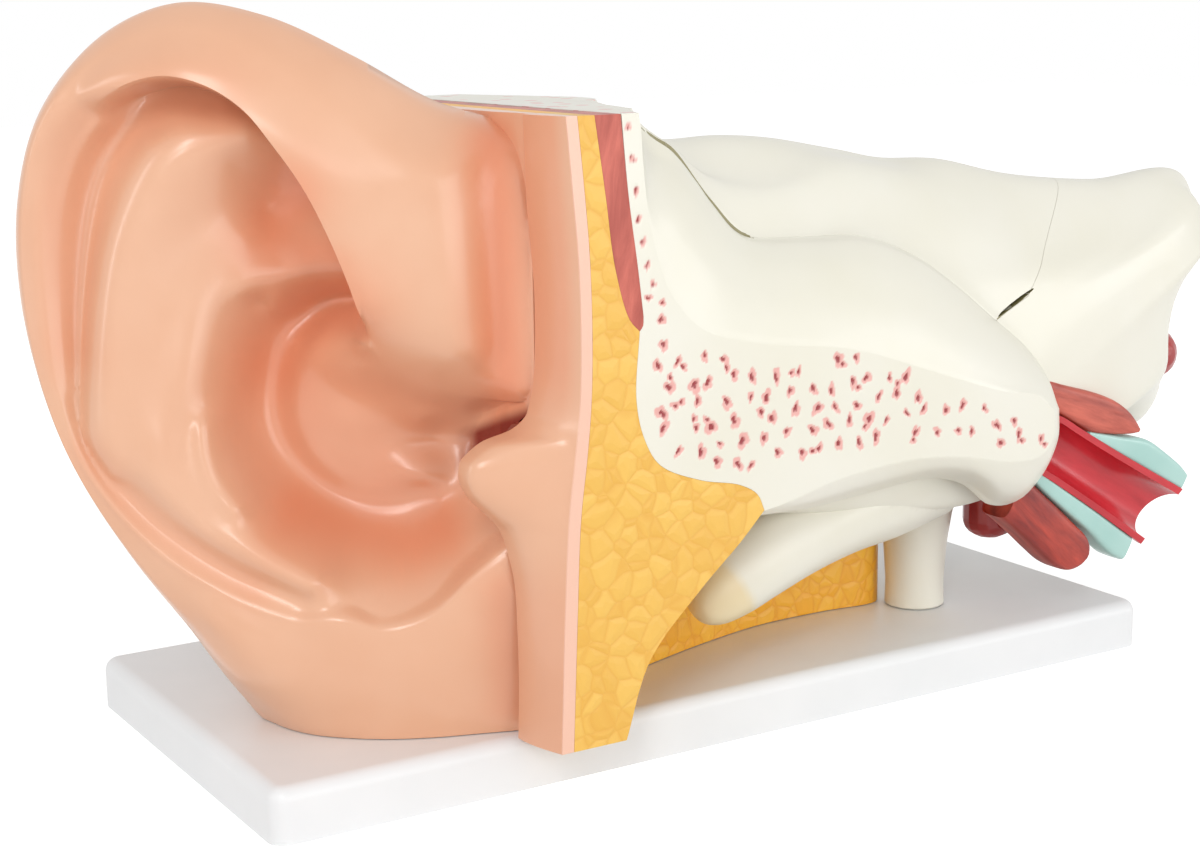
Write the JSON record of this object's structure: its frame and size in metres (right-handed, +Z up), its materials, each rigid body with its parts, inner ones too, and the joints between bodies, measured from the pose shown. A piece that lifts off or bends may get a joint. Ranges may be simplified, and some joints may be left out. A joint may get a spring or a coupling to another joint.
{
  "type": "ear anatomy model",
  "caption": "Enlarged teaching model of the human ear on a base: auricle, canal, eardrum, ossicles and labyrinth in a sectioned temporal bone with lift-off pieces.",
  "frame": {"origin": "centre of the base's underside", "axes": "+X from the auricle towards the tip of the petrous bone, +Y towards the back of the head section, away from the lift-off front section, +Z up"},
  "size_m": [0.3899, 0.1508, 0.2081],
  "materials": {
    "base_plastic": "fine satin, light grey",
    "skin_paint": "glossy varnished skin tone",
    "fat_paint": "satin yellow, cobbled",
    "muscle_paint": "satin dark red, streaked along its fibres",
    "bone_paint": "semi-gloss ivory",
    "mucosa_paint": "semi-gloss crimson",
    "cartilage_paint": "semi-gloss pale turquoise",
    "artery_paint": "semi-gloss dark red",
    "nerve_paint": "semi-gloss yellow",
    "labyrinth_paint": "semi-gloss sand",
    "drum_paint": "semi-gloss pale flesh",
    "pin_steel": "plain steel"
  },
  "bodies": {
    "model_stand": {"base_plate": "base_plastic", "base_screw_1": "pin_steel", "base_screw_2": "pin_steel", "base_screw_3": "pin_steel", "base_screw_4": "pin_steel", "support_post": "bone_paint", "auricle": "skin_paint", "rear_fat": "fat_paint", "rear_muscle": "muscle_paint", "rear_bone": "bone_paint", "canal_lining_rear": "skin_paint", "cover_pin_1": "pin_steel", "cover_pin_2": "pin_steel", "labyrinth_pin": "pin_steel", "tube_mucosa": "mucosa_paint", "tube_cartilage_upper": "cartilage_paint", "tube_cartilage_lower": "cartilage_paint", "tensor_muscle": "muscle_paint", "levator_muscle": "muscle_paint", "carotid_artery_lower": "artery_paint", "carotid_artery_upper": "artery_paint"},
    "front_section": {"front_skin": "skin_paint", "front_fat": "fat_paint", "front_muscle": "muscle_paint", "front_bone": "bone_paint", "canal_lining_front": "skin_paint", "slab_pin_1": "pin_steel", "slab_pin_2": "pin_steel", "slab_pin_3": "pin_steel"},
    "upper_cover": {"upper_bone_cover": "bone_paint"},
    "eardrum_unit": {"eardrum": "drum_paint", "malleus": "bone_paint", "incus": "bone_paint"},
    "labyrinth": {"stapes": "bone_paint", "semicircular_canals": "labyrinth_paint", "cochlea": "labyrinth_paint", "vestibulocochlear_nerve": "nerve_paint"}
  },
  "joints": [
    {"name": "front_section_slide", "type": "slide", "parent": "model_stand", "child": "front_section", "axis": [0, -1, 0], "range_m": [0, 0.15]},
    {"name": "ossicle_unit_slide", "type": "slide", "parent": "model_stand", "child": "eardrum_unit", "axis": [0, -1, 0], "range_m": [0, 0.075]},
    {"name": "upper_cover_lift", "type": "slide", "parent": "model_stand", "child": "upper_cover", "axis": [0, 0, 1], "range_m": [0, 0.14]},
    {"name": "labyrinth_lift", "type": "slide", "parent": "model_stand", "child": "labyrinth", "axis": [0, 0, 1], "range_m": [0, 0.07]}
  ],
  "couplings": [
    {"joint": "ossicle_unit_slide", "follows": "front_section_slide", "ratio": 0.5},
    {"joint": "labyrinth_lift", "follows": "upper_cover_lift", "ratio": 0.5}
  ]
}
